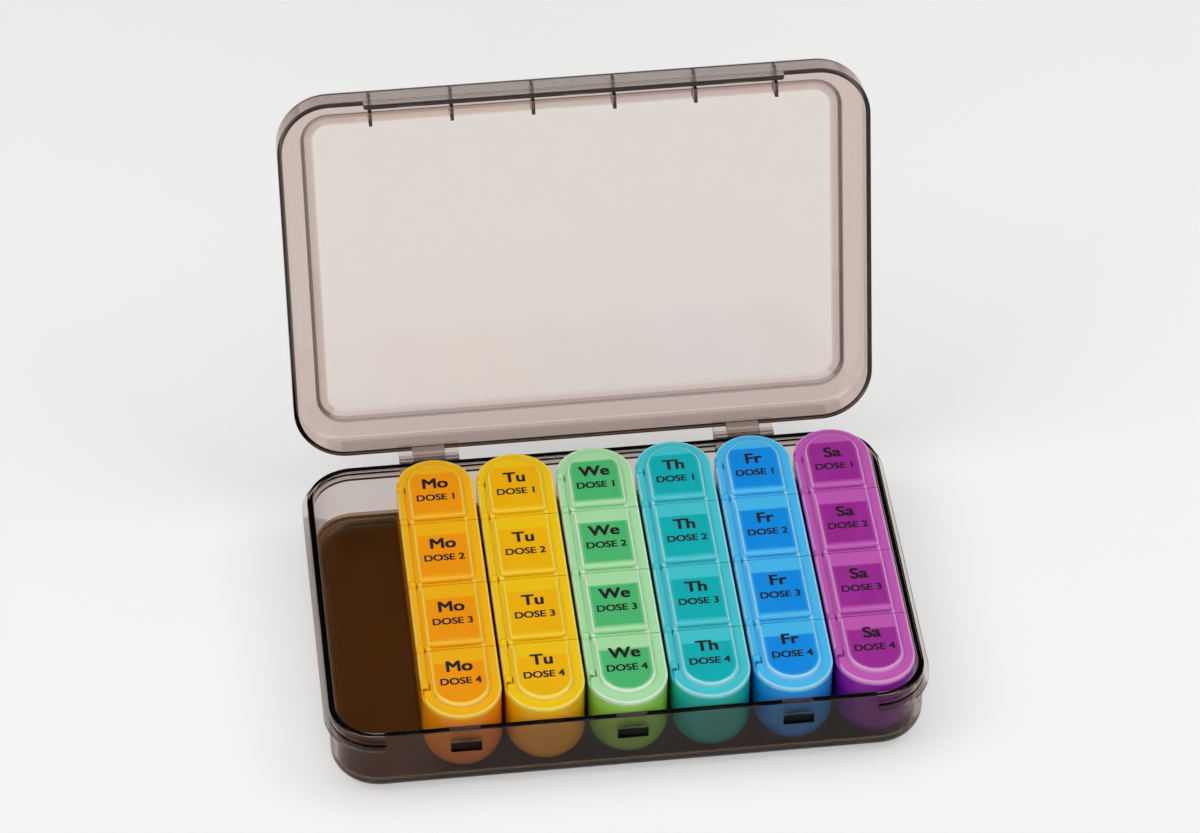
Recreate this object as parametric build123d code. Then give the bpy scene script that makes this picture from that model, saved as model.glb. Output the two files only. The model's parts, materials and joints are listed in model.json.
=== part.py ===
from build123d import *
import os
from math import cos, radians, sin

# Pill organizer: a smoked case with a hinged lid that holds a row of lift-out day strips.
# Each strip is a tray of four compartments under four small flip lids. One bay stands empty.
# Millimetres. Origin: middle of the case's underside. +X runs along the row of strips,
# -Y points to the catch side and +Z up. The case lid stands open.

# Row of strips
bay_count = 7
day_names = ["monday", "tuesday", "wednesday", "thursday", "friday", "saturday"]
first_filled_bay = 1
strip_gap = 0.9
side_clearance = 0.8
end_clearance = 0.7
strip_seat_gap = 0.1

# Strip tray
compartment_count = 4
compartment_width = 20.8
compartment_length = 25.6
strip_wall = 1.3
divider_thickness = 1.4
tray_height = 22.6
tray_bottom_radius = 8.0

# Flip lids of a strip
flip_lid_thickness = 1.2
flip_lid_lift = 0.15
flip_lid_gap = 0.3
flip_lid_edge_radius = 0.35
pad_rise = 1.45
pad_inset = 3.4
pad_side_inset = 0.8
pad_corner_radius = 1.6
pad_edge_radius = 0.9
plug_depth = 1.5
plug_wall = 1.0
plug_clearance = 0.25
barrel_radius = 1.2
barrel_end_gap = 0.2
heel_overhang = 0.3
lug_width = 2.4
lug_pocket_gap = 0.3
peg_radius = 0.6
peg_clearance = 0.05
peg_reach = 1.0

# Case base
base_wall = 2.0
base_floor = 2.2
base_bottom_radius = 6.0
base_inner_radius = 4.0
strip_show = 1.6
lip_height = 3.3
lip_edge_radius = 0.5
flange_thickness = 1.6
flange_front_run = 17.0

# Case lid
lid_wall = 1.4
lid_panel = 1.5
lid_fit_gap = 0.2
lid_seat_gap = 0.15
lid_head_room = 0.4
lid_top_radius = 2.5
lid_inner_radius = 1.2
plateau_inset = 7.5
plateau_step = 0.6
plateau_slope = 3.0
plateau_rise = 1.2
lid_open_angle = 105.0

# Ribs in the lid that reach between the strip ends
rib_thickness = 1.0
rib_reach = 7.0
rib_clearance = 0.4
rib_lip_drop = 3.0

# Front skirt of the lid and its catches
skirt_length = 3.3
skirt_end_margin = 2.0
skirt_corner_radius = 1.2
catch_bays = [1, 3, 5]
catch_width = 8.0
catch_height = 1.0
catch_reach = 0.35
catch_foot = 0.3
pocket_margin = 0.5
pocket_top_gap = 0.2
pocket_height = 3.8
pocket_depth = 1.1

# Case hinge
hinge_spacing = 97.2
knuckle_radius = 2.2
knuckle_width = 10.0
knuckle_root_height = 4.0
knuckle_foot_gap = 0.4
ear_width = 4.0
hinge_side_gap = 0.2
hinge_back_gap = 1.1
hinge_drop = 1.3
pin_radius = 1.0
pin_press_gap = 0.02
pin_running_gap = 0.06
stop_gap = 0.12
stop_start = 1.9
stop_end = 4.4

# Overlap of shapes that are joined or cut through, and how near two points count as one
weld = 0.5
touch = 0.01

# Sizes that follow from those above
strip_width = compartment_width + 2 * strip_wall
compartment_step = compartment_length + divider_thickness
strip_length = compartment_count * compartment_step - divider_thickness + 2 * strip_wall
bay_pitch = strip_width + strip_gap
room_width = bay_count * bay_pitch - strip_gap + 2 * side_clearance
room_depth = strip_length + 2 * end_clearance
room_radius = strip_width / 2 + end_clearance
flange_reach = lid_wall + lid_fit_gap
base_width = room_width + 2 * base_wall
base_depth = room_depth + 2 * base_wall
base_radius = room_radius + base_wall
case_width = base_width + 2 * flange_reach
case_depth = base_depth + 2 * flange_reach
case_radius = base_radius + flange_reach

strip_bottom = base_floor + strip_seat_gap
tray_rim = strip_bottom + tray_height
flip_lid_bottom = tray_rim + flip_lid_lift
flip_lid_top = flip_lid_bottom + flip_lid_thickness
pad_top = flip_lid_top + pad_rise
base_height = tray_rim - strip_show
flange_top = base_height - lip_height
lid_rim = flange_top + lid_seat_gap
lid_under = pad_top + lid_head_room
lid_top = lid_under + lid_panel

hinge_offset = knuckle_radius + hinge_back_gap
hinge_y = case_depth / 2 + hinge_offset
hinge_z = flange_top - hinge_drop
flip_axis_x = -strip_width / 2 + barrel_radius
flip_axis_z = flip_lid_bottom + barrel_radius
front_face = -case_depth / 2
base_front = -base_depth / 2


def block(x0, x1, y0, y1, z0, z1):
    """A box between two corners."""
    centre = Pos((x0 + x1) / 2, (y0 + y1) / 2, (z0 + z1) / 2)
    return centre * Box(x1 - x0, y1 - y0, z1 - z0)


def rounded_block(width, depth, radius, z0, z1):
    """An upright block with round corners, centred on the case."""
    outline = RectangleRounded(width, depth, radius)
    return extrude(Plane.XY.offset(z0) * outline, z1 - z0)


def stadium(inset, z0, z1):
    """An upright block with the strip's round-ended outline, drawn in by an inset."""
    outline = SlotOverall(strip_length - 2 * inset, strip_width - 2 * inset, rotation=90)
    return extrude(Plane.XY.offset(z0) * outline, z1 - z0)


def rod_x(radius, x0, x1, y, z):
    """A round rod along X."""
    return Pos((x0 + x1) / 2, y, z) * Rot(0, 90, 0) * Cylinder(radius, x1 - x0)


def rod_y(radius, y0, y1, x, z):
    """A round rod along Y."""
    return Pos(x, (y0 + y1) / 2, z) * Rot(90, 0, 0) * Cylinder(radius, y1 - y0)


def bottom_edges(shape):
    return shape.edges().group_by(Axis.Z)[0]


def top_edges(shape):
    return shape.edges().group_by(Axis.Z)[-1]


def bay_x(bay):
    """Middle of a bay, counted from the left."""
    return (bay - (bay_count - 1) / 2) * bay_pitch


def compartment_y(index):
    """Middle of a compartment, counted from the hinge side of the case."""
    return ((compartment_count - 1) / 2 - index) * compartment_step


def divider_places():
    return [compartment_y(index) - compartment_step / 2 for index in range(compartment_count - 1)]


def lug_places():
    """Middles of the hinge lugs of a strip, from the far end to the near end."""
    end = strip_length / 2 - strip_width / 2 - lug_width / 2
    return [end] + divider_places() + [-end]


def compartment_block(index, inset, z0, z1):
    """The space of one compartment, drawn in by an inset on every side."""
    near = compartment_y(index) - compartment_length / 2 + inset
    far = compartment_y(index) + compartment_length / 2 - inset
    if index == 0:
        far = strip_length
    if index == compartment_count - 1:
        near = -strip_length
    space = stadium(strip_wall + inset, z0, z1)
    return space & block(-strip_width, strip_width, near, far, z0, z1)


def make_tray():
    """A round-bottomed tray with four compartments and a row of hinge lugs on its left rim."""
    tray = fillet(bottom_edges(stadium(0, strip_bottom, tray_rim)), tray_bottom_radius)
    room = stadium(strip_wall, strip_bottom + strip_wall, tray_rim + weld)
    room = fillet(bottom_edges(room), tray_bottom_radius - strip_wall)
    for y in divider_places():
        half = divider_thickness / 2
        room -= block(-strip_width, strip_width, y - half, y + half, strip_bottom, tray_rim + 2 * weld)
    tray -= room
    left = -strip_width / 2
    for y in lug_places():
        near = y - lug_width / 2
        far = y + lug_width / 2
        tray += block(left, flip_axis_x + barrel_radius, near, far, tray_rim - weld, flip_axis_z)
        tray += rod_y(barrel_radius, near, far, flip_axis_x, flip_axis_z)
    bore = peg_radius + peg_clearance
    return tray - rod_y(bore, -strip_length, strip_length, flip_axis_x, flip_axis_z)


def pad_outline(near, far):
    """Outline of the raised pad of a flip lid, with its square corners rounded."""
    outline = SlotOverall(strip_length - 2 * pad_inset, strip_width - 2 * pad_inset, rotation=90)
    outline &= Pos(0, (near + far) / 2) * Rectangle(strip_width, far - near)
    corners = [v for v in outline.vertices() if min(abs(v.Y - near), abs(v.Y - far)) < touch]
    return fillet(corners, pad_corner_radius)


def make_flip_lid(index):
    """A flip lid: plate, raised pad, plug that enters its compartment, and a barrel with two pegs."""
    far_lug = lug_places()[index]
    near_lug = lug_places()[index + 1]
    far = compartment_y(index) + compartment_step / 2 - flip_lid_gap / 2
    near = compartment_y(index) - compartment_step / 2 + flip_lid_gap / 2
    pad_far = far - pad_side_inset
    pad_near = near + pad_side_inset
    if index == 0:
        far = strip_length
        pad_far = strip_length / 2
    if index == compartment_count - 1:
        near = -strip_length
        pad_near = -strip_length / 2

    heel = flip_axis_x - heel_overhang
    plate = stadium(0, flip_lid_bottom, flip_lid_top)
    lid = fillet(top_edges(plate), flip_lid_edge_radius)
    lid &= block(heel, strip_width, near, far, flip_lid_bottom, flip_lid_top)
    plug_bottom = flip_lid_bottom - plug_depth
    lid += compartment_block(index, plug_clearance, plug_bottom, flip_lid_top)
    lid -= compartment_block(index, plug_clearance + plug_wall, plug_bottom, flip_lid_bottom)

    barrel_far = far_lug - lug_width / 2 - barrel_end_gap
    barrel_near = near_lug + lug_width / 2 + barrel_end_gap
    for y in (far_lug, near_lug):
        half = lug_width / 2 + barrel_end_gap
        right = flip_axis_x + barrel_radius + lug_pocket_gap
        lid -= block(-strip_width, right, y - half, y + half, plug_bottom - weld, pad_top)
    lid += rod_y(barrel_radius, barrel_near, barrel_far, flip_axis_x, flip_axis_z)
    peg_length = barrel_end_gap + peg_reach
    lid += rod_y(peg_radius, barrel_near - peg_length, barrel_far + peg_length, flip_axis_x, flip_axis_z)

    pad = extrude(Plane.XY.offset(flip_lid_top - weld) * pad_outline(pad_near, pad_far), pad_rise + weld)
    return lid + fillet(top_edges(pad), pad_edge_radius)


def catch_top():
    """Top of the catch bead on the inside of the lid's skirt, with the lid closed."""
    return lid_rim - skirt_length + catch_foot + catch_height


def hinge_places():
    return [-hinge_spacing / 2, hinge_spacing / 2]


def ear_spans(x):
    """X ranges of the two base ears beside a lid knuckle."""
    inner = knuckle_width / 2 + hinge_side_gap
    outer = inner + ear_width
    return [(x - outer, x - inner), (x + inner, x + outer)]


def stop_points():
    """Corners of the nose on an ear that carries the rear wall of the open lid."""
    angle = radians(lid_open_angle)
    reach = hinge_offset - stop_gap
    corners = []
    for run in (stop_start, stop_end):
        back = -cos(angle) * reach + sin(angle) * run
        up = sin(angle) * reach + cos(angle) * run
        corners.append((hinge_y + back, hinge_z + up))
    return corners


def make_base():
    """The case's lower half: rounded tray, lip, outer flange, catch pockets and hinge ears."""
    base = rounded_block(base_width, base_depth, base_radius, 0, base_height)
    base = fillet(bottom_edges(base), base_bottom_radius)
    room = rounded_block(room_width, room_depth, room_radius, base_floor, base_height + weld)
    base -= fillet(bottom_edges(room), base_inner_radius)
    base = fillet(top_edges(base), lip_edge_radius)

    flange = rounded_block(case_width, case_depth, case_radius, flange_top - flange_thickness, flange_top)
    flange -= rounded_block(base_width - weld, base_depth - weld, base_radius - weld / 2, 0, base_height)
    run = case_width / 2 - flange_front_run
    flange -= block(-run, run, -case_depth, base_front + weld, 0, base_height)
    base += flange

    pocket_top = catch_top() + pocket_top_gap
    half = catch_width / 2 + pocket_margin
    for bay in catch_bays:
        x = bay_x(bay)
        base -= block(x - half, x + half, front_face, base_front + pocket_depth,
                      pocket_top - pocket_height, pocket_top)

    nose_start, nose_end = stop_points()
    ear_bottom = hinge_z - knuckle_radius
    wall_y = base_depth / 2 - weld
    profile = [(wall_y, ear_bottom), (hinge_y, ear_bottom), nose_end, nose_start,
               (hinge_y, flange_top), (wall_y, flange_top)]
    for x in hinge_places():
        for x0, x1 in ear_spans(x):
            outline = Plane.YZ.offset(x0) * make_face(Polyline(*profile, close=True))
            base += extrude(outline, x1 - x0)
            base += rod_x(knuckle_radius, x0, x1, hinge_y, hinge_z)
    return base - rod_x(pin_radius + pin_press_gap, -case_width, case_width, hinge_y, hinge_z)


def make_rib(x):
    """A rib behind the lid's front wall that reaches over the base's lip and between two strip ends."""
    wall = front_face + lid_wall - weld
    lip_back = base_front + base_wall + rib_clearance
    tip = front_face + lid_wall + rib_reach
    over_lip = base_height + rib_clearance
    low = base_height - rib_lip_drop
    profile = [(wall, over_lip), (lip_back, over_lip), (lip_back, low), (tip, low),
               (tip, lid_under + weld), (wall, lid_under + weld)]
    outline = Plane.YZ.offset(x - rib_thickness / 2) * make_face(Polyline(*profile, close=True))
    return extrude(outline, rib_thickness)


def make_skirt():
    """The front wall's longer middle part, with three catch beads on its inner face."""
    half = bay_x(bay_count - 1) - bay_pitch / 2 + skirt_end_margin
    inner = front_face + lid_wall
    low = lid_rim - skirt_length
    skirt = block(-half, half, front_face, inner, low, lid_rim + weld)
    corners = [e for e in skirt.edges().filter_by(Axis.Y) if e.center().Z < lid_rim]
    skirt = fillet(corners, skirt_corner_radius)
    for bay in catch_bays:
        x = bay_x(bay)
        top = catch_top()
        outline = [(inner - weld, top - catch_height), (inner, top - catch_height),
                   (inner + catch_reach, top - catch_height / 2), (inner, top), (inner - weld, top)]
        face = Plane.YZ.offset(x - catch_width / 2) * make_face(Polyline(*outline, close=True))
        skirt += extrude(face, catch_width)
    return skirt


def make_knuckle(x):
    """A lid knuckle: a round eye on the hinge axis and its root on the lid's rear wall."""
    wall_y = case_depth / 2 - weld
    foot_y = case_depth / 2 + knuckle_foot_gap
    profile = [(wall_y, lid_rim), (foot_y, lid_rim), (hinge_y, hinge_z - knuckle_radius / 2),
               (hinge_y, hinge_z + knuckle_radius), (wall_y, lid_rim + knuckle_root_height)]
    x0 = x - knuckle_width / 2
    outline = Plane.YZ.offset(x0) * make_face(Polyline(*profile, close=True))
    knuckle = extrude(outline, knuckle_width)
    return knuckle + rod_x(knuckle_radius, x0, x0 + knuckle_width, hinge_y, hinge_z)


def make_plateau(z, foot_inset, run):
    """The raised panel in the lid's top, from a height up, with sides that slope in over a run."""
    outlines = []
    for inset, level in ((foot_inset, z), (foot_inset + run, z + plateau_rise)):
        outline = RectangleRounded(case_width - 2 * inset, case_depth - 2 * inset, case_radius - inset)
        outlines.append(Plane.XY.offset(level) * outline)
    return loft(outlines, ruled=True)


def make_case_lid():
    """The case lid: shallow tray with a raised panel, ribs, skirt and knuckles, turned open."""
    lid = rounded_block(case_width, case_depth, case_radius, lid_rim, lid_top)
    lid = fillet(top_edges(lid), lid_top_radius)
    lid += make_plateau(lid_top, plateau_inset, plateau_step)
    hollow = rounded_block(case_width - 2 * lid_wall, case_depth - 2 * lid_wall, case_radius - lid_wall,
                           lid_rim - weld, lid_under)
    lid -= fillet(top_edges(hollow), lid_inner_radius)
    lid -= make_plateau(lid_under, plateau_inset + plateau_step, plateau_slope)
    lid += make_skirt()
    for bay in range(bay_count - 1):
        lid += make_rib(bay_x(bay) + bay_pitch / 2)
    for x in hinge_places():
        lid += make_knuckle(x)
    lid -= rod_x(pin_radius + pin_running_gap, -case_width, case_width, hinge_y, hinge_z)
    return lid.rotate(Axis((0, hinge_y, hinge_z), (1, 0, 0)), -lid_open_angle)


def make_hinge_pins():
    """Two steel pins, each through a knuckle and its two ears."""
    pins = []
    for x in hinge_places():
        spans = ear_spans(x)
        pins.append(rod_x(pin_radius, spans[0][0], spans[1][1], hinge_y, hinge_z))
    return Compound(children=pins)


def main():
    os.makedirs("parts", exist_ok=True)
    export_step(make_base(), "parts/case_base.step")
    export_step(make_case_lid(), "parts/case_lid.step")
    export_step(make_hinge_pins(), "parts/case_hinge_pins.step")
    tray = make_tray()
    flip_lids = [make_flip_lid(index) for index in range(compartment_count)]
    for place, day in enumerate(day_names):
        seat = Pos(bay_x(first_filled_bay + place), 0, 0)
        export_step(seat * tray, f"parts/{day}_tray.step")
        for index, flip_lid in enumerate(flip_lids):
            export_step(seat * flip_lid, f"parts/{day}_lid_{index + 1}.step")
    print(f"case {case_width:.1f} x {case_depth:.1f} x {lid_top + plateau_rise:.1f} mm when closed")


main()
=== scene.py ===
# %% [markdown]
# # A pill organizer in a smoked case
#
# The object is a flat travel case of smoked clear plastic, standing open. Six coloured strips lie in it, each
# with four compartments under small flip lids, and the first of its seven bays is empty. The pieces arrive as
# finished solids from the frame, in metres and in their places. This lesson gives them their plastics, prints the
# lids, and sets up the light and the camera. The solids themselves are left as they are.

# %% Load the frame
import json
from math import cos, radians, sin

import bmesh
import bpy
from mathutils import Matrix, Vector
from mathutils.geometry import delaunay_2d_cdt


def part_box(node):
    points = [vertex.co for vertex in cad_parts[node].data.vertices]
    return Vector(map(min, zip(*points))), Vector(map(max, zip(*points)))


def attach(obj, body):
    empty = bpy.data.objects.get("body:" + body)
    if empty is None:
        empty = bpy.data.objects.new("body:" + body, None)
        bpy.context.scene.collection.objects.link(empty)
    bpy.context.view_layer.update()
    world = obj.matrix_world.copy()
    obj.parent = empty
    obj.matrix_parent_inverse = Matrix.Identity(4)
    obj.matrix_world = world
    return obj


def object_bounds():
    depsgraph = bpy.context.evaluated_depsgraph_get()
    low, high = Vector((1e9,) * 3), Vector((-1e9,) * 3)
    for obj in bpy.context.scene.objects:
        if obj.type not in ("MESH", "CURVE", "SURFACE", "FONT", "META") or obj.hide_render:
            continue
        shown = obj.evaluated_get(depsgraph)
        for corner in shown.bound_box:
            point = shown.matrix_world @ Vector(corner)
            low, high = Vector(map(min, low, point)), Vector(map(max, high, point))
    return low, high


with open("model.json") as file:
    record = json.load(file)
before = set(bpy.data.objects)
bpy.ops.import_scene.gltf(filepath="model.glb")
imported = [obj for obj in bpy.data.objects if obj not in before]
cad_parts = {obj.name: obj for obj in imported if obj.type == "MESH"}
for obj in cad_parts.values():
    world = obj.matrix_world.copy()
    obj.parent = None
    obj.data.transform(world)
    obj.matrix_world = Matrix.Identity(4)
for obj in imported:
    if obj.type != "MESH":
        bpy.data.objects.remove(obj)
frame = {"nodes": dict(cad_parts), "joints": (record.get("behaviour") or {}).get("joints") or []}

cad_low, cad_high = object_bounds()
nodes = frame["nodes"]
print("nodes:", len(nodes), "box in mm:", [round(1000 * v) for v in cad_high - cad_low])

# %% [markdown]
# ## Sizes that the looks need
#
# The frame already knows every size, so nothing is measured twice. The strips are found by their trays, from left
# to right, and the flip lids by their names. What a printer would need is the middle and the height of each pad.

# %% Find the strips
MM = 0.001


def middle(node):
    """Middle of a node's box at rest."""
    low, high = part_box(node)
    return (low + high) / 2


trays = sorted((name for name in nodes if name.endswith("_tray")), key=lambda name: middle(name).x)
days = [name.removesuffix("_tray") for name in trays]
doses = [1, 2, 3, 4]
print("strips from the left:", days)

# %% [markdown]
# ## Small tools
#
# Colours are easier to pick as the hex values of a paint or plastic swatch, but shaders work in linear light, so one
# function turns one into the other. A second one adds a shader node with its settings and links in a single line,
# which keeps each material short enough to read as a recipe. Pattern sizes are given in millimetres and turned into
# the texture's scale, which counts features per metre.

# %% Colour, scale and node helpers


def linear(hex_colour):
    """A hex sRGB colour as linear red, green, blue and alpha."""
    channels = [int(hex_colour[i:i + 2], 16) / 255 for i in (1, 3, 5)]
    values = [c / 12.92 if c <= 0.04045 else ((c + 0.055) / 1.055) ** 2.4 for c in channels]
    return (*values, 1.0)


def per_metre(size_mm):
    """Texture scale that gives features of this size."""
    return 1 / (size_mm * MM)


def add_node(tree, kind, settings=None, links=None):
    """Add a shader node, set its properties and sockets, and link sockets of other nodes to it."""
    node = tree.nodes.new(kind)
    for key, value in (settings or {}).items():
        if isinstance(key, int) or key in node.inputs:
            node.inputs[key].default_value = value
        else:
            setattr(node, key, value)
    for key, socket in (links or {}).items():
        tree.links.new(socket, node.inputs[key])
    return node


def start_material(name):
    """A new material with its node tree, emptied, and the Object coordinates that its patterns read."""
    material = bpy.data.materials.new(name)
    material.use_nodes = True
    tree = material.node_tree
    tree.nodes.clear()
    place = add_node(tree, "ShaderNodeTexCoord").outputs["Object"]
    return material, tree, place


print("white in linear light:", linear("#FFFFFF"))

# %% [markdown]
# ## Smoked acrylic of the case
#
# The case is injection moulded from clear acrylic with a brown-grey dye. Dye works by the length of the way
# through it: the thin panel of the lid only greys what is behind it, while rims, ribs and corners, where the eye
# looks along the wall, turn nearly black. A tinted surface can't do that, so the dye is a volume absorption and the
# surface itself stays clear. The mould was polished, so the surface has only a faint ripple and some
# handling marks that make it duller in places. The eye gets sharp bright edges and a soft grey between them.

# %% Smoked plastic
CLEAR_SKIN = "#FBF8F6"
acrylic_ior = 1.49
ripple_size = 11            # pattern sizes are in millimetres
ripple_height = 0.012 * MM
mark_size = 7
polished, handled = 0.02, 0.08


def smoked_acrylic(name, dye_colour, dye_per_metre):
    """Dyed clear plastic with a wavy skin. Also gives its tree, coordinates, shader and dullness."""
    material, tree, place = start_material(name)
    ripple = add_node(tree, "ShaderNodeTexNoise", {"Scale": per_metre(ripple_size), "Detail": 2.0},
                      {"Vector": place})
    bump = add_node(tree, "ShaderNodeBump", {"Strength": 1.0, "Distance": ripple_height},
                    {"Height": ripple.outputs["Fac"]})
    marks = add_node(tree, "ShaderNodeTexNoise", {"Scale": per_metre(mark_size), "Detail": 5.0, "Roughness": 0.65},
                     {"Vector": place})
    dull = add_node(tree, "ShaderNodeMapRange",
                    {"From Min": 0.4, "From Max": 0.75, "To Min": polished, "To Max": handled},
                    {"Value": marks.outputs["Fac"]})
    shader = add_node(tree, "ShaderNodeBsdfPrincipled",
                      {"Base Color": linear(CLEAR_SKIN), "IOR": acrylic_ior, "Transmission Weight": 1.0},
                      {"Normal": bump.outputs["Normal"]})
    dye = add_node(tree, "ShaderNodeVolumeAbsorption", {"Color": linear(dye_colour), "Density": dye_per_metre})
    add_node(tree, "ShaderNodeOutputMaterial",
             links={"Surface": shader.outputs["BSDF"], "Volume": dye.outputs["Volume"]})
    return material, tree, place, shader, dull.outputs["Result"]


def inside_box(tree, axes, low, high):
    """A mask that is 1 inside a box and 0 outside it."""
    mask = None
    for axis, start, end in zip("XYZ", low, high):
        within = add_node(tree, "ShaderNodeMath",
                          {"operation": "COMPARE", 1: (start + end) / 2, 2: (end - start) / 2},
                          {0: axes.outputs[axis]}).outputs[0]
        if mask is not None:
            within = add_node(tree, "ShaderNodeMath", {"operation": "MULTIPLY"}, {0: mask, 1: within}).outputs[0]
        mask = within
    return mask


case_low, case_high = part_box("case_base")
half_width = case_high.x
half_depth = -case_low.y
print("case in mm:", round(2000 * half_width, 1), "by", round(2000 * half_depth, 1))

# %% [markdown]
# ## The base
#
# Light that falls into the base goes through its floor to the table and back, some of it many times, and comes out
# brown. The renderer follows only a few of those ways, so the skin of the floor gets a painted brown shade as well,
# and the round inner corner, where the eye looks along the wall, a darker painted shade. The three catch pockets in
# the front wall are matt, as the mould's inserts left them, and their skin is painted nearly black as shade. All
# three are found by their place, with masks that read the Object coordinates. The strips show their colours through
# the front wall, so it mirrors a little less of the room than the lid does, with a lower index and a dim tint on what
# it mirrors.

# %% Base plastic
floor_level = 2.4 * MM
floor_shade_top = 2.8 * MM
shaded_corner_middle = 3.8 * MM
shaded_corner_half = 1.2 * MM
flange_reach = 1.6 * MM
pocket_skin = 0.05 * MM
pocket_depth = 1.1 * MM
pocket_reach = 60 * MM
pocket_low = 13.5 * MM
pocket_high = 19.0 * MM
pocket_dullness = 0.6
base_ior = 1.42
base_dye = 285.0            # dye densities are per metre of plastic


def base_acrylic(name, dye_colour, dye_per_metre):
    """Smoked plastic of the base: a dark clear tray, with painted shade that browns its floor, darkens its inner
    corner and makes three pockets nearly black.
    """
    material, tree, place, shader, dull = smoked_acrylic(name, dye_colour, dye_per_metre)
    axes = add_node(tree, "ShaderNodeSeparateXYZ", links={"Vector": place})
    # Painted shade: the floor's skin fades to a brown tint below a set height.
    floor_shade_share = add_node(tree, "ShaderNodeMapRange", {"From Min": floor_shade_top, "From Max": floor_level},
                           {"Value": axes.outputs["Z"]}).outputs["Result"]
    front = -half_depth + flange_reach
    pockets = inside_box(tree, axes, (-pocket_reach, front + pocket_skin, pocket_low),
                         (pocket_reach, front + pocket_depth + pocket_skin, pocket_high))
    floor_shaded = add_node(tree, "ShaderNodeMix",
                       {"data_type": "RGBA", 6: linear(CLEAR_SKIN), 7: linear("#D2AE76")}, {0: floor_shade_share})
    # Painted shade: a darker brown band round the inner corner, where the floor meets the walls.
    corner = add_node(tree, "ShaderNodeMath", {"operation": "COMPARE", 1: shaded_corner_middle, 2: shaded_corner_half},
                      {0: axes.outputs["Z"]})
    corner_shaded = add_node(tree, "ShaderNodeMix", {"data_type": "RGBA", 7: linear("#86664A")},
                        {0: corner.outputs[0], 6: floor_shaded.outputs[2]})
    # Painted shade: the pockets' skin turns nearly black; their higher roughness is a real matt finish.
    skin = add_node(tree, "ShaderNodeMix", {"data_type": "RGBA", 7: linear("#0B0808")},
                    {0: pockets, 6: corner_shaded.outputs[2]})
    finish = add_node(tree, "ShaderNodeMix", {"data_type": "FLOAT", 3: pocket_dullness}, {0: pockets, 2: dull})
    tree.links.new(skin.outputs[2], shader.inputs["Base Color"])
    tree.links.new(finish.outputs[0], shader.inputs["Roughness"])
    shader.inputs["IOR"].default_value = base_ior
    shader.inputs["Specular Tint"].default_value = linear("#A0A0A0")
    return material


base_smoke = base_acrylic("smoked_acrylic_moulded_base", "#98725C", base_dye)
print("base plastic:", base_smoke.name)

# %% [markdown]
# ## The case lid
#
# The lid has several finishes. Its walls are polished. The raised panel has a faint satin, which softens what is seen
# through it, and the border round it, with two bends to look through, gets a browner painted shade. The step between
# them has a matt edge with a darker painted shade. The back wall by the hinge gets a darker painted shade as well.
# The front wall, which is on top while the lid stands open, is grained where a thumb lifts it, and a cooler tint on
# its skin paints the grey sheen of that grain, so it is greyer than the rest. The ribs behind it, the whole rim and
# the low skirt of the front wall, where the eye looks along the wall, are painted dark as shade. To find these places
# the open lid is turned shut in the coordinates only, with a Mapping node that takes the hinge's place and angle from
# the frame. A second mask measures how far in from the rounded outline a point lies.

# %% Lid plastic
lid_wall = 1.4 * MM
wall_fade = 0.1 * MM
corner_radius = 16.0 * MM
border_end = 11.1 * MM
border_fade = 0.6 * MM
step_middle = 7.8 * MM
step_half = 0.5 * MM
rib_length = 7.2 * MM
rib_low = 19.5 * MM
rib_high = 26.8 * MM
rib_span = 70 * MM
rim_middle = 20.25 * MM
rim_half = 0.2 * MM
skirt_edge = 17.1 * MM
panel_satin, step_matt, thumb_grain = 0.1, 0.5, 0.2
lid_dye = 215.0
case_hinge = next(joint for joint in frame["joints"] if joint["child"] == "case_lid")


def inset_from_outline(tree, axes):
    """How far in from the case's outline a point lies, seen from above."""
    past = []
    for across, half in (("X", half_width), ("Y", half_depth)):
        away = add_node(tree, "ShaderNodeMath", {"operation": "ABSOLUTE"}, {0: axes.outputs[across]})
        past.append(add_node(tree, "ShaderNodeMath", {"operation": "SUBTRACT", 1: half - corner_radius},
                             {0: away.outputs[0]}).outputs[0])
    beyond = add_node(tree, "ShaderNodeCombineXYZ", links={"X": past[0], "Y": past[1]})
    corner = add_node(tree, "ShaderNodeVectorMath", {"operation": "MAXIMUM", 1: (0, 0, 0)},
                      {0: beyond.outputs["Vector"]})
    round_reach = add_node(tree, "ShaderNodeVectorMath", {"operation": "LENGTH"}, {0: corner.outputs["Vector"]})
    straight = add_node(tree, "ShaderNodeMath", {"operation": "MAXIMUM"}, {0: past[0], 1: past[1]})
    straight_reach = add_node(tree, "ShaderNodeMath", {"operation": "MINIMUM", 1: 0.0}, {0: straight.outputs[0]})
    reach = add_node(tree, "ShaderNodeMath", {"operation": "ADD"},
                     {0: round_reach.outputs["Value"], 1: straight_reach.outputs[0]})
    return add_node(tree, "ShaderNodeMath", {"operation": "SUBTRACT", 0: corner_radius},
                    {1: reach.outputs[0]}).outputs[0]


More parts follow.
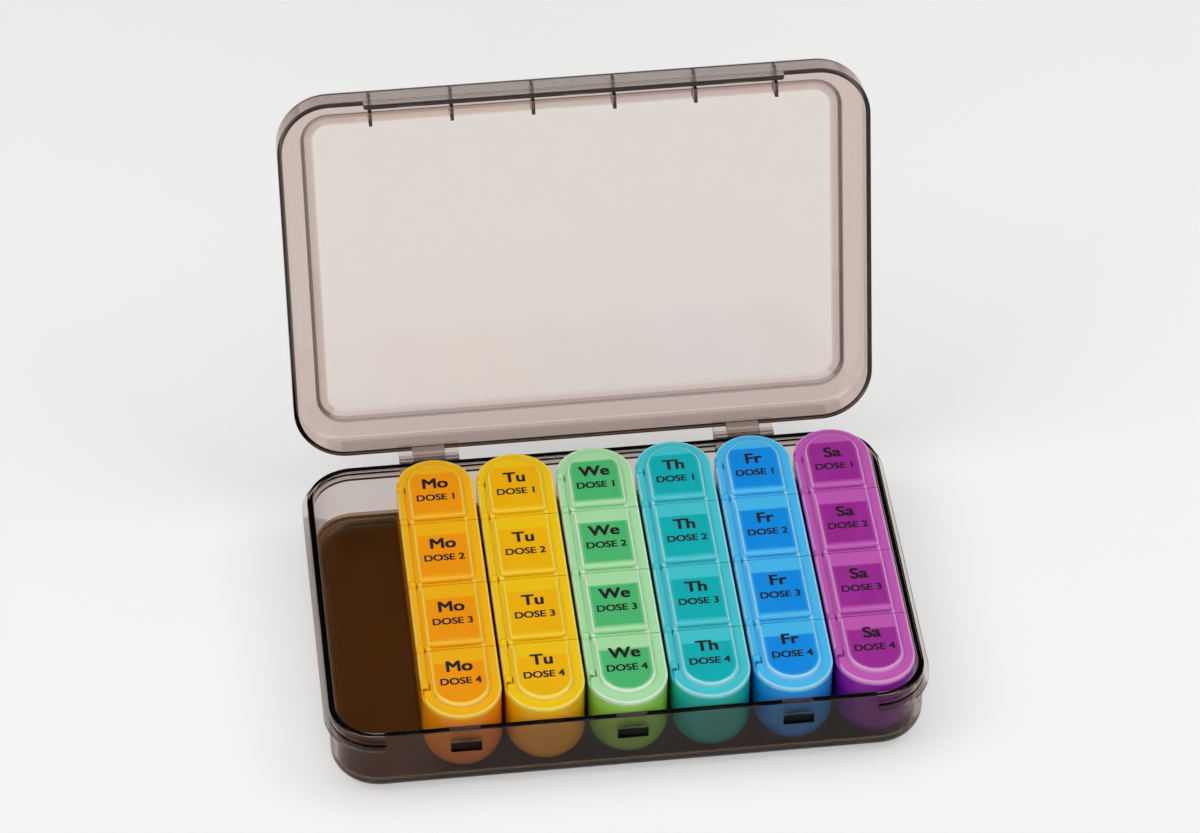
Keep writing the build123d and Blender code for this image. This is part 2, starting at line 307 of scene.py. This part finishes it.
def lid_acrylic(name, dye_colour, dye_per_metre):
    """Smoked plastic of the lid: a pale clear panel, with painted shade on its border, step, back wall, ribs, rim and
    skirt, and a painted grey sheen on its front wall.
    """
    material, tree, place, shader, dull = smoked_acrylic(name, dye_colour, dye_per_metre)
    angle = -radians(case_hinge["range_deg"][0])
    axis = Vector(case_hinge["pos_m"])
    shift = axis - Matrix.Rotation(angle, 3, "X") @ axis
    shut = add_node(tree, "ShaderNodeMapping", {"Location": shift, "Rotation": (angle, 0, 0)},
                    {"Vector": place})
    axes = add_node(tree, "ShaderNodeSeparateXYZ", links={"Vector": shut.outputs["Vector"]})
    inset = inset_from_outline(tree, axes)
    border = add_node(tree, "ShaderNodeMapRange",
                      {"From Min": border_end, "From Max": border_end - border_fade},
                      {"Value": inset}).outputs["Result"]
    step = add_node(tree, "ShaderNodeMath", {"operation": "COMPARE", 1: step_middle, 2: step_half},
                    {0: inset}).outputs[0]
    front_face = -half_depth + lid_wall + wall_fade
    front_wall = add_node(tree, "ShaderNodeMapRange",
                          {"From Min": front_face + wall_fade, "From Max": front_face},
                          {"Value": axes.outputs["Y"]}).outputs["Result"]
    back_wall = add_node(tree, "ShaderNodeMapRange",
                         {"From Min": -front_face - wall_fade, "From Max": -front_face},
                         {"Value": axes.outputs["Y"]}).outputs["Result"]
    ribs = inside_box(tree, axes, (-rib_span, front_face + wall_fade, rib_low),
                      (rib_span, front_face + rib_length, rib_high))
    painted_rim = add_node(tree, "ShaderNodeMath", {"operation": "COMPARE", 1: rim_middle, 2: rim_half},
                   {0: axes.outputs["Z"]}).outputs[0]
    low = add_node(tree, "ShaderNodeMath", {"operation": "LESS_THAN", 1: skirt_edge}, {0: axes.outputs["Z"]})
    skirt = add_node(tree, "ShaderNodeMath", {"operation": "MULTIPLY"},
                     {0: low.outputs[0], 1: front_wall}).outputs[0]
    skin = None
    # Painted light and shade on the skin: browner on the border, darker on the step, back wall, ribs, rim and skirt,
    # and cooler on the front wall as a grey sheen.
    for mask, colour in ((border, "#E3D7D3"), (step, "#C0B0AA"), (back_wall, "#C4B8B2"),
                         (front_wall, "#F6FDFF"), (ribs, "#3A302C"), (painted_rim, "#8C8486"), (skirt, "#4A4446")):
        painted_tint = add_node(tree, "ShaderNodeMix",
                        {"data_type": "RGBA", 6: linear(CLEAR_SKIN), 7: linear(colour)}, {0: mask})
        if skin is not None:
            tree.links.new(skin, painted_tint.inputs[6])
        skin = painted_tint.outputs[2]
    finish = add_node(tree, "ShaderNodeMix", {"data_type": "FLOAT", 2: panel_satin},
                      {0: border, 3: dull}).outputs[0]
    for mask, roughness in ((step, step_matt), (front_wall, thumb_grain)):
        finish = add_node(tree, "ShaderNodeMix", {"data_type": "FLOAT", 3: roughness},
                          {0: mask, 2: finish}).outputs[0]
    tree.links.new(skin, shader.inputs["Base Color"])
    tree.links.new(finish, shader.inputs["Roughness"])
    return material


lid_smoke = lid_acrylic("smoked_acrylic_moulded_lid", "#A2703A", lid_dye)
print("lid plastic:", lid_smoke.name)

# %% [markdown]
# ## Tinted plastic of the strips
#
# The strips are moulded from a milky plastic with a bright dye. It scatters most of the light that enters it, so it
# glows in its colour, and lets the rest through. Over a compartment a flip lid is one thin wall above a deep hollow,
# so its colour there is painted deep, as the shade of that hollow. At its rim the lid, its plug and the tray's wall
# lie on each other and scatter more light back, so the colour is painted paler there as light, and it is painted
# paler in a band before each seam, where a compartment's lit far wall is under the lid. The top of each tray's rim,
# under the lids, is painted paler in the same way. Sharp edges gather the light that runs inside a plate, so the
# edges of the lid and of its pad get painted highlight lines. These places are found in the Object coordinates,
# folded so that all strips share one recipe. Dye never mixes in perfectly, so a long soft streak along the strip
# shifts the colour slightly.

# %% Rim of the flip lids
tray_low, tray_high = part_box(trays[0])
strip_half = (tray_high.x - tray_low.x) / 2
strip_pitch = middle(trays[1]).x - middle(trays[0]).x
arc_middle = tray_high.y - strip_half
lid_step = middle(f"{days[0]}_lid_2").y - middle(f"{days[0]}_lid_3").y
rim_width = 3.4 * MM
rim_fade = 1.6 * MM
plate_edge = 0.6 * MM
pad_edge_middle = 3.7 * MM
pad_edge_half = 0.4 * MM
seam_width = 1.9 * MM
far_band = 6.6 * MM
far_fade = 0.8 * MM
lid_plug = 1.5 * MM
lid_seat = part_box(f"{days[0]}_lid_2")[0].z + lid_plug
tray_rim_fade = 0.8 * MM


def lid_masks(tree, place):
    """Two masks: where each flip lid is painted paler as light, and where its plate and pad edges get painted
    highlight lines.
    """
    axes = add_node(tree, "ShaderNodeSeparateXYZ", links={"Vector": place})
    across = add_node(tree, "ShaderNodeMath", {"operation": "WRAP", 1: strip_pitch / 2, 2: -strip_pitch / 2},
                      {0: axes.outputs["X"]})
    away = add_node(tree, "ShaderNodeMath", {"operation": "ABSOLUTE"}, {0: axes.outputs["Y"]})
    past = add_node(tree, "ShaderNodeMath", {"operation": "SUBTRACT", 1: arc_middle}, {0: away.outputs[0]})
    past_arc = add_node(tree, "ShaderNodeMath", {"operation": "MAXIMUM", 1: 0.0}, {0: past.outputs[0]})
    flat = add_node(tree, "ShaderNodeCombineXYZ", links={"X": across.outputs[0], "Y": past_arc.outputs[0]})
    out = add_node(tree, "ShaderNodeVectorMath", {"operation": "LENGTH"}, {0: flat.outputs["Vector"]})
    # Painted light: the rim of each lid and a band before each seam are painted paler.
    edge = add_node(tree, "ShaderNodeMapRange",
                    {"From Min": strip_half - rim_width - rim_fade, "From Max": strip_half - rim_width},
                    {"Value": out.outputs["Value"]})
    seam_end = seam_width + rim_fade
    to_seam = add_node(tree, "ShaderNodeMath", {"operation": "WRAP", 1: seam_end, 2: seam_end - lid_step},
                       {0: axes.outputs["Y"]})
    near_side = add_node(tree, "ShaderNodeMapRange", {"From Min": seam_end, "From Max": seam_width},
                         {"Value": to_seam.outputs[0]})
    far_side = add_node(tree, "ShaderNodeMapRange", {"From Min": -far_band - far_fade, "From Max": -far_band},
                        {"Value": to_seam.outputs[0]})
    seam = add_node(tree, "ShaderNodeMath", {"operation": "MINIMUM"},
                    {0: near_side.outputs["Result"], 1: far_side.outputs["Result"]})
    painted_rim = add_node(tree, "ShaderNodeMath", {"operation": "MAXIMUM"},
                   {0: edge.outputs["Result"], 1: seam.outputs[0]})
    # Painted highlight: thin pale lines on the plate's outer edge and on the edge of the pad.
    plate_highlight = add_node(tree, "ShaderNodeMath", {"operation": "GREATER_THAN", 1: strip_half - plate_edge},
                          {0: out.outputs["Value"]})
    pad_highlight = add_node(tree, "ShaderNodeMath",
                        {"operation": "COMPARE", 1: strip_half - pad_edge_middle, 2: pad_edge_half},
                        {0: out.outputs["Value"]})
    lines = add_node(tree, "ShaderNodeMath", {"operation": "MAXIMUM"},
                     {0: plate_highlight.outputs[0], 1: pad_highlight.outputs[0]})
    return painted_rim.outputs[0], lines.outputs[0]


print("strip in mm:", round(2000 * strip_half, 1), "pitch:", round(1000 * strip_pitch, 1))

# %% Tinted plastic
streak_size = 9
streak_stretch = 0.3
wear_size = 3
wave_size = 5
wave_height = 0.01 * MM
moulded_gloss = 0.05


def tinted_plastic(name, colour, deep_colour, clearness, dullest, gloss):
    """Milky dyed plastic, streaked from one colour to a deeper one, with its tree and coordinates."""
    material, tree, place = start_material(name)
    flow = add_node(tree, "ShaderNodeMapping", {"Scale": (1.0, streak_stretch, 1.0)}, {"Vector": place})
    streak = add_node(tree, "ShaderNodeTexNoise", {"Scale": per_metre(streak_size), "Detail": 3.0},
                      {"Vector": flow.outputs["Vector"]})
    colours = add_node(tree, "ShaderNodeMix",
                       {"data_type": "RGBA", 6: linear(colour), 7: linear(deep_colour)},
                       {0: streak.outputs["Fac"]})
    marks = add_node(tree, "ShaderNodeTexNoise", {"Scale": per_metre(wear_size), "Detail": 5.0, "Roughness": 0.6},
                     {"Vector": place})
    dull = add_node(tree, "ShaderNodeMapRange",
                    {"From Min": 0.35, "From Max": 0.75, "To Min": moulded_gloss, "To Max": dullest},
                    {"Value": marks.outputs["Fac"]})
    wave = add_node(tree, "ShaderNodeTexNoise", {"Scale": per_metre(wave_size), "Detail": 1.0}, {"Vector": place})
    bump = add_node(tree, "ShaderNodeBump", {"Strength": 1.0, "Distance": wave_height},
                    {"Height": wave.outputs["Fac"]})
    shader = add_node(tree, "ShaderNodeBsdfPrincipled",
                      {"IOR": 1.5, "Transmission Weight": clearness, "Coat Weight": gloss,
                       "Coat Roughness": 0.03, "Specular IOR Level": 0.3},
                      {"Base Color": colours.outputs[2], "Roughness": dull.outputs["Result"],
                       "Normal": bump.outputs["Normal"]})
    add_node(tree, "ShaderNodeOutputMaterial", links={"Surface": shader.outputs["BSDF"]})
    return material, tree, place, shader, colours.outputs[2]


def lid_tint(name, colour, deep_colour, painted_paler_colour, highlight_colour):
    """Plastic of the flip lids: glossy, painted deep in the middle of the pad as shade, painted paler along its rim as
    light, and with painted highlight lines along its edges.
    """
    material, tree, place, shader, body = tinted_plastic(name, colour, deep_colour,
                                                         clearness=0.12, dullest=0.12, gloss=0.3)
    painted_rim, lines = lid_masks(tree, place)
    # Painted light: the paler colour on the rim and the seam bands.
    painted_paler = add_node(tree, "ShaderNodeMix", {"data_type": "RGBA", 7: linear(painted_paler_colour)},
                     {0: painted_rim, 6: body})
    # Painted highlight: the pale lines on the lid's edges.
    highlighted = add_node(tree, "ShaderNodeMix", {"data_type": "RGBA", 7: linear(highlight_colour)},
                     {0: lines, 6: painted_paler.outputs[2]})
    tree.links.new(highlighted.outputs[2], shader.inputs["Base Color"])
    return material


def tray_tint(name, colour, deep_colour, painted_paler_colour):
    """Plastic of the trays: full colour and a softer shine, with the rim under the lids painted paler as light."""
    material, tree, place, shader, body = tinted_plastic(name, colour, deep_colour,
                                                         clearness=0.08, dullest=0.2, gloss=0.0)
    height = add_node(tree, "ShaderNodeSeparateXYZ", links={"Vector": place}).outputs["Z"]
    # Painted light: the tray is painted paler towards the top of its rim.
    top = add_node(tree, "ShaderNodeMapRange", {"From Min": lid_seat - tray_rim_fade, "From Max": lid_seat},
                   {"Value": height})
    painted_paler = add_node(tree, "ShaderNodeMix", {"data_type": "RGBA", 7: linear(painted_paler_colour)},
                     {0: top.outputs["Result"], 6: body})
    tree.links.new(painted_paler.outputs[2], shader.inputs["Base Color"])
    return material


# lid, its deeper streak, lid and tray rim painted paler as light, painted highlight lines, tray, its deeper streak
strip_colours = {
    "monday": ("#FFA60C", "#FF9A08", "#FFBC12", "#FFD654", "#FF9E0C", "#FF8C06"),
    "tuesday": ("#FFC408", "#FFB806", "#FFD014", "#FFE25A", "#FFC20A", "#FFB206"),
    "wednesday": ("#5ACA80", "#46BC70", "#B2ECB0", "#DDF6DA", "#B2EC50", "#7CD458"),
    "thursday": ("#12C0C6", "#08B2B8", "#48D0DC", "#9CE6EC", "#14CABC", "#0CB8B2"),
    "friday": ("#129CF4", "#088CEE", "#4CC4FC", "#9ADEFE", "#1AA4FC", "#1090F4"),
    "saturday": ("#AE36A2", "#9A2494", "#CC60BE", "#E29CD8", "#9A1CB4", "#8010A6"),
}
lid_plastic = {}
tray_plastic = {}
for day in days:
    colour, deep, edge, line, tray_colour, tray_deep = strip_colours[day]
    lid_plastic[day] = lid_tint(f"milky_tinted_plastic_moulded_{day}_lid", colour, deep, edge, line)
    tray_plastic[day] = tray_tint(f"milky_tinted_plastic_moulded_{day}_tray", tray_colour, tray_deep, edge)
print("tinted plastics:", len(lid_plastic) + len(tray_plastic))

# %% [markdown]
# ## Drawn steel of the hinge pins
#
# The two pins of the case hinge are cut from drawn wire. Drawing leaves fine lines along the wire, so the roughness
# follows a noise that is stretched along the pin.

# %% Steel wire
line_width = 0.3
line_stretch = 0.04


def drawn_steel(name):
    """Drawn wire: a bright grey with a soft shine that is broken into lines along the pin."""
    material, tree, place = start_material(name)
    along = add_node(tree, "ShaderNodeMapping", {"Scale": (line_stretch, 1.0, 1.0)}, {"Vector": place})
    lines = add_node(tree, "ShaderNodeTexNoise", {"Scale": per_metre(line_width), "Detail": 4.0},
                     {"Vector": along.outputs["Vector"]})
    dull = add_node(tree, "ShaderNodeMapRange", {"To Min": 0.22, "To Max": 0.45},
                    {"Value": lines.outputs["Fac"]})
    shader = add_node(tree, "ShaderNodeBsdfPrincipled", {"Base Color": linear("#C9C9CC"), "Metallic": 1.0},
                      {"Roughness": dull.outputs["Result"]})
    add_node(tree, "ShaderNodeOutputMaterial", links={"Surface": shader.outputs["BSDF"]})
    return material


pin_steel = drawn_steel("steel_wire_drawn")
print("pins:", pin_steel.name)

# %% [markdown]
# ## Dress the solids
#
# A solid keeps its mesh and only gets a material in its slot. The names of the nodes say what each one is.

# %% Give every solid its material


def dress(node, material):
    mesh = nodes[node].data
    mesh.materials.clear()
    mesh.materials.append(material)


dress("case_lid", lid_smoke)
dress("case_base", base_smoke)
dress("case_hinge_pins", pin_steel)
for day in days:
    dress(f"{day}_tray", tray_plastic[day])
    for dose in doses:
        dress(f"{day}_lid_{dose}", lid_plastic[day])
print("dressed:", sum(1 for node in nodes.values() if node.data.materials))

# %% [markdown]
# ## Print on the lids
#
# Each pad carries a day and a dose. Here they are two plain letters for the day and a number for the dose. Pad
# printing lays a film of ink only a few hundredths of a millimetre thick, with a slight mottle where the silicone pad
# lifted off. Text starts as a font curve, filled flat. It is struck five times, slightly apart, to make it bold, the
# strikes are joined in the plane, and the outline is raised to the film's thickness, so each line is a clean closed
# mesh. The lines are moved to their pads as meshes, so that each object stays at the origin like every other piece.

# %% Printing ink
mottle_size = 0.5


def pad_print_ink(name):
    """Pad printing ink: matt and nearly black, uneven like a thin film."""
    material, tree, place = start_material(name)
    mottle = add_node(tree, "ShaderNodeTexNoise", {"Scale": per_metre(mottle_size), "Detail": 3.0},
                      {"Vector": place})
    colours = add_node(tree, "ShaderNodeMix",
                       {"data_type": "RGBA", 6: linear("#140C0E"), 7: linear("#2A1E22")},
                       {0: mottle.outputs["Fac"]})
    shader = add_node(tree, "ShaderNodeBsdfPrincipled", {"Roughness": 0.6, "Specular IOR Level": 0.15},
                      {"Base Color": colours.outputs[2]})
    add_node(tree, "ShaderNodeOutputMaterial", links={"Surface": shader.outputs["BSDF"]})
    return material


ink = pad_print_ink("pad_printing_ink_dark")
print("ink:", ink.name)

# %% Text as meshes
ink_film = 0.02 * MM
cap_share = 0.73
day_cap = 4.4 * MM
dose_cap = 2.7 * MM
line_shift = 3.1 * MM
day_strike = 0.2 * MM
dose_strike = 0.12 * MM
strikes = [(0, 0), (-1, -0.6), (-1, 0.6), (1, -0.6), (1, 0.6)]
least_area = 1e-6 * MM ** 2
join_tolerance = 1e-5       # millimetres
inside_only = 1             # the join gives back what lies inside outlines
flat_angle = radians(0.5)
first_shift = -1.2 * MM     # round lid ends: their words sit nearer to the middle of the strip
last_shift = 2.5 * MM


def print_line(words, cap_height, strike):
    """One printed line as a closed film of ink, round the origin."""
    curve = bpy.data.curves.new(words, "FONT")
    curve.body = words
    curve.align_x = "CENTER"
    curve.size = cap_height / cap_share
    curve.resolution_u = 6
    text = bpy.data.objects.new(words, curve)
    letters = bpy.data.meshes.new_from_object(text)
    bpy.data.objects.remove(text)
    points, faces = [], []
    for side, rise in strikes:
        shift = Vector((side * strike, rise * strike - cap_height / 2))
        faces += [[len(points) + corner for corner in face.vertices]
                  for face in letters.polygons if face.area > least_area]
        points += [(vertex.co.xy + shift) / MM for vertex in letters.vertices]
    corners, _, triangles, _, _, sources = delaunay_2d_cdt(points, [], faces, inside_only, join_tolerance)
    bm = bmesh.new()
    made = [bm.verts.new((*(corner * MM), 0)) for corner in corners]
    for triangle, source in zip(triangles, sources):
        if source:
            bm.faces.new([made[corner] for corner in triangle])
    bmesh.ops.delete(bm, geom=[vertex for vertex in bm.verts if not vertex.link_faces], context="VERTS")
    bm.normal_update()
    bmesh.ops.dissolve_limit(bm, angle_limit=flat_angle, verts=bm.verts, edges=bm.edges)
    film = bmesh.ops.extrude_face_region(bm, geom=bm.faces[:])
    raised = [item for item in film["geom"] if isinstance(item, bmesh.types.BMVert)]
    bmesh.ops.translate(bm, verts=raised, vec=(0, 0, ink_film))
    bmesh.ops.recalc_face_normals(bm, faces=bm.faces)
    mesh = bpy.data.meshes.new(words)
    bm.to_mesh(mesh)
    bm.free()
    return mesh


day_lines = {day: print_line(day[:2].capitalize(), day_cap, day_strike) for day in days}
dose_lines = {dose: print_line(f"DOSE {dose}", dose_cap, dose_strike) for dose in doses}


def print_pad(day, dose):
    """Both lines of one flip lid, as one piece that turns with it."""
    node = f"{day}_lid_{dose}"
    spot = Vector((middle(f"{day}_tray").x, middle(node).y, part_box(node)[1].z))
    if dose == doses[-1]:
        spot.y += last_shift
    if dose == doses[0]:
        spot.y += first_shift
    bm = bmesh.new()
    for line, shift in ((day_lines[day], line_shift), (dose_lines[dose], -line_shift)):
        placed = line.copy()
        placed.transform(Matrix.Translation(spot + Vector((0, shift, 0))))
        bm.from_mesh(placed)
    mesh = bpy.data.meshes.new(f"{node}_print")
    bm.to_mesh(mesh)
    bm.free()
    mesh.materials.append(ink)
    piece = bpy.data.objects.new(mesh.name, mesh)
    bpy.context.scene.collection.objects.link(piece)
    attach(piece, f"{day}_flip_{dose}")
    return piece


prints = [print_pad(day, dose) for day in days for dose in doses]
print("printed pads:", len(prints), "vertices on the first:", len(prints[0].data.vertices))

# %% [markdown]
# ## Floor and light
#
# Bright plastic loses its colour where it mirrors a white sky, so the studio is dim above, with a pale band low
# round the horizon, and softboxes give the light. A large one overhead, slightly behind the case, lights evenly and
# keeps shadows short. One on each side, high up, lights the flanks of the strips. A low wide one in front lights the
# walls that face the camera. The floor is plain pale paper, and it is what the clear case shows behind itself. In a
# studio that paper is lit to white, which the dim room can't give. So white is mixed in where a ray has come through
# the plastic, apart from the ground under the case, and a smaller share evens out the paper that the camera sees.

# %% Floor
floor_drop = 0.2 * MM
floor_half = 3.0
contact_shadow = 2 * MM
any_height = 1.0
seen_white = 0.4
shown_white = 0.85
patch_size = 400


def plain_floor(name):
    """Matt white paper, as even as a studio sweep."""
    material, tree, place = start_material(name)
    patches = add_node(tree, "ShaderNodeTexNoise", {"Scale": per_metre(patch_size), "Detail": 2.0},
                       {"Vector": place})
    colours = add_node(tree, "ShaderNodeMix",
                       {"data_type": "RGBA", 6: linear("#F7F7F6"), 7: linear("#F4F4F3")},
                       {0: patches.outputs["Fac"]})
    paper = add_node(tree, "ShaderNodeBsdfPrincipled", {"Roughness": 0.7, "Specular IOR Level": 0.2},
                     {"Base Color": colours.outputs[2]})
    axes = add_node(tree, "ShaderNodeSeparateXYZ", links={"Vector": place})
    under_x = half_width + contact_shadow
    under_y = half_depth + contact_shadow
    under = inside_box(tree, axes, (-under_x, -under_y, -any_height), (under_x, under_y, any_height))
    ray = add_node(tree, "ShaderNodeLightPath")
    clear_of = add_node(tree, "ShaderNodeMath", {"operation": "SUBTRACT", "use_clamp": True},
                        {0: ray.outputs["Is Transmission Ray"], 1: under})
    shown = add_node(tree, "ShaderNodeMath", {"operation": "MULTIPLY", 1: shown_white},
                     {0: clear_of.outputs[0]})
    white_share = add_node(tree, "ShaderNodeMath", {"operation": "MULTIPLY_ADD", 1: seen_white},
                           {0: ray.outputs["Is Camera Ray"], 2: shown.outputs[0]})
    white = add_node(tree, "ShaderNodeEmission", {"Color": linear("#FFFFFF"), "Strength": 1.0})
    surface = add_node(tree, "ShaderNodeMixShader",
                       links={0: white_share.outputs[0], 1: paper.outputs["BSDF"], 2: white.outputs["Emission"]})
    add_node(tree, "ShaderNodeOutputMaterial", links={"Surface": surface.outputs["Shader"]})
    return material


bm = bmesh.new()
bmesh.ops.create_grid(bm, x_segments=1, y_segments=1, size=floor_half)
bmesh.ops.translate(bm, verts=bm.verts, vec=(0, 0, cad_low.z - floor_drop))
floor_mesh = bpy.data.meshes.new("studio_floor")
bm.to_mesh(floor_mesh)
bm.free()
floor_mesh.materials.append(plain_floor("paper_matt_white"))
floor = bpy.data.objects.new("studio_floor", floor_mesh)
bpy.context.scene.collection.objects.link(floor)
print("floor at", round(1000 * (cad_low.z - floor_drop), 2), "mm")

# %% Sky and softboxes
room_light = 0.12
horizon_light = 0.9
horizon_top, room_start = 0.05, 0.2
scene = bpy.context.scene
scene.view_settings.view_transform = "Standard"
world = bpy.data.worlds.new("dim_studio")
scene.world = world
world.use_nodes = True
world.node_tree.nodes.clear()
way = add_node(world.node_tree, "ShaderNodeTexCoord").outputs["Generated"]
rise = add_node(world.node_tree, "ShaderNodeSeparateXYZ", links={"Vector": way}).outputs["Z"]
level = add_node(world.node_tree, "ShaderNodeMapRange",
                 {"From Min": horizon_top, "From Max": room_start, "To Min": horizon_light, "To Max": room_light},
                 {"Value": rise})
sky = add_node(world.node_tree, "ShaderNodeBackground", {"Color": linear("#FFFFFF")},
               {"Strength": level.outputs["Result"]})
add_node(world.node_tree, "ShaderNodeOutputWorld", links={"Surface": sky.outputs["Background"]})


def softbox(name, direction, distance, width, height, power):
    """A rectangular lamp that looks at the middle of the object."""
    lamp = bpy.data.lights.new(name, "AREA")
    lamp.shape = "RECTANGLE"
    lamp.size = width
    lamp.size_y = height
    lamp.energy = power
    box = bpy.data.objects.new(name, lamp)
    toward = Vector(direction).normalized()
    box.location = (cad_low + cad_high) / 2 + toward * distance
    box.rotation_euler = toward.to_track_quat("Z", "Y").to_euler()
    scene.collection.objects.link(box)


# name, direction, distance, width and height in metres, power in watts
softbox("softbox_above", (0.0, 0.3, 1.0), 1.3, 1.1, 0.8, 4.8)
softbox("softbox_left", (-0.8, -0.2, 1.0), 1.1, 0.8, 0.6, 4.3)
softbox("softbox_right", (0.8, -0.15, 1.0), 1.1, 0.8, 0.6, 4.0)
softbox("softbox_front", (0.0, -0.9, 0.45), 1.2, 1.2, 0.4, 4.2)
print("lamps:", len(bpy.data.lights))

# %% [markdown]
# ## Camera
#
# The case is seen from in front, a little from its left, and from well above, so that the rows of lids open out
# below the standing lid. The lens is long, which keeps the sides nearly parallel. The picture's scale comes from the
# object itself: its corners are measured across the picture, and the lens follows from the room that they need.

# %% Place the camera
picture = (1200, 833)
view_azimuth = radians(-6.6)
view_elevation = radians(42.5)
view_distance = 1.5
filled = 0.86

back = Vector((sin(view_azimuth) * cos(view_elevation), -cos(view_azimuth) * cos(view_elevation),
               sin(view_elevation)))
turn = back.to_track_quat("Z", "Y")
right = turn @ Vector((1, 0, 0))
up = turn @ Vector((0, 1, 0))
points = [vertex.co for node in nodes.values() for vertex in node.data.vertices]
across = [point.dot(right) for point in points]
height = [point.dot(up) for point in points]
depth = [point.dot(back) for point in points]
reach = max(height) - min(height)
target = (right * (max(across) + min(across)) + up * (max(height) + min(height))
          + back * (max(depth) + min(depth))) / 2
camera_data = bpy.data.cameras.new("camera")
camera_data.lens = camera_data.sensor_width * view_distance / (reach / filled * picture[0] / picture[1])
camera = bpy.data.objects.new("camera", camera_data)
camera.location = target + back * view_distance
camera.rotation_euler = turn.to_euler()
scene.collection.objects.link(camera)
scene.camera = camera
print("lens in mm:", round(camera_data.lens, 1), "object height across the picture in mm:", round(1000 * reach))
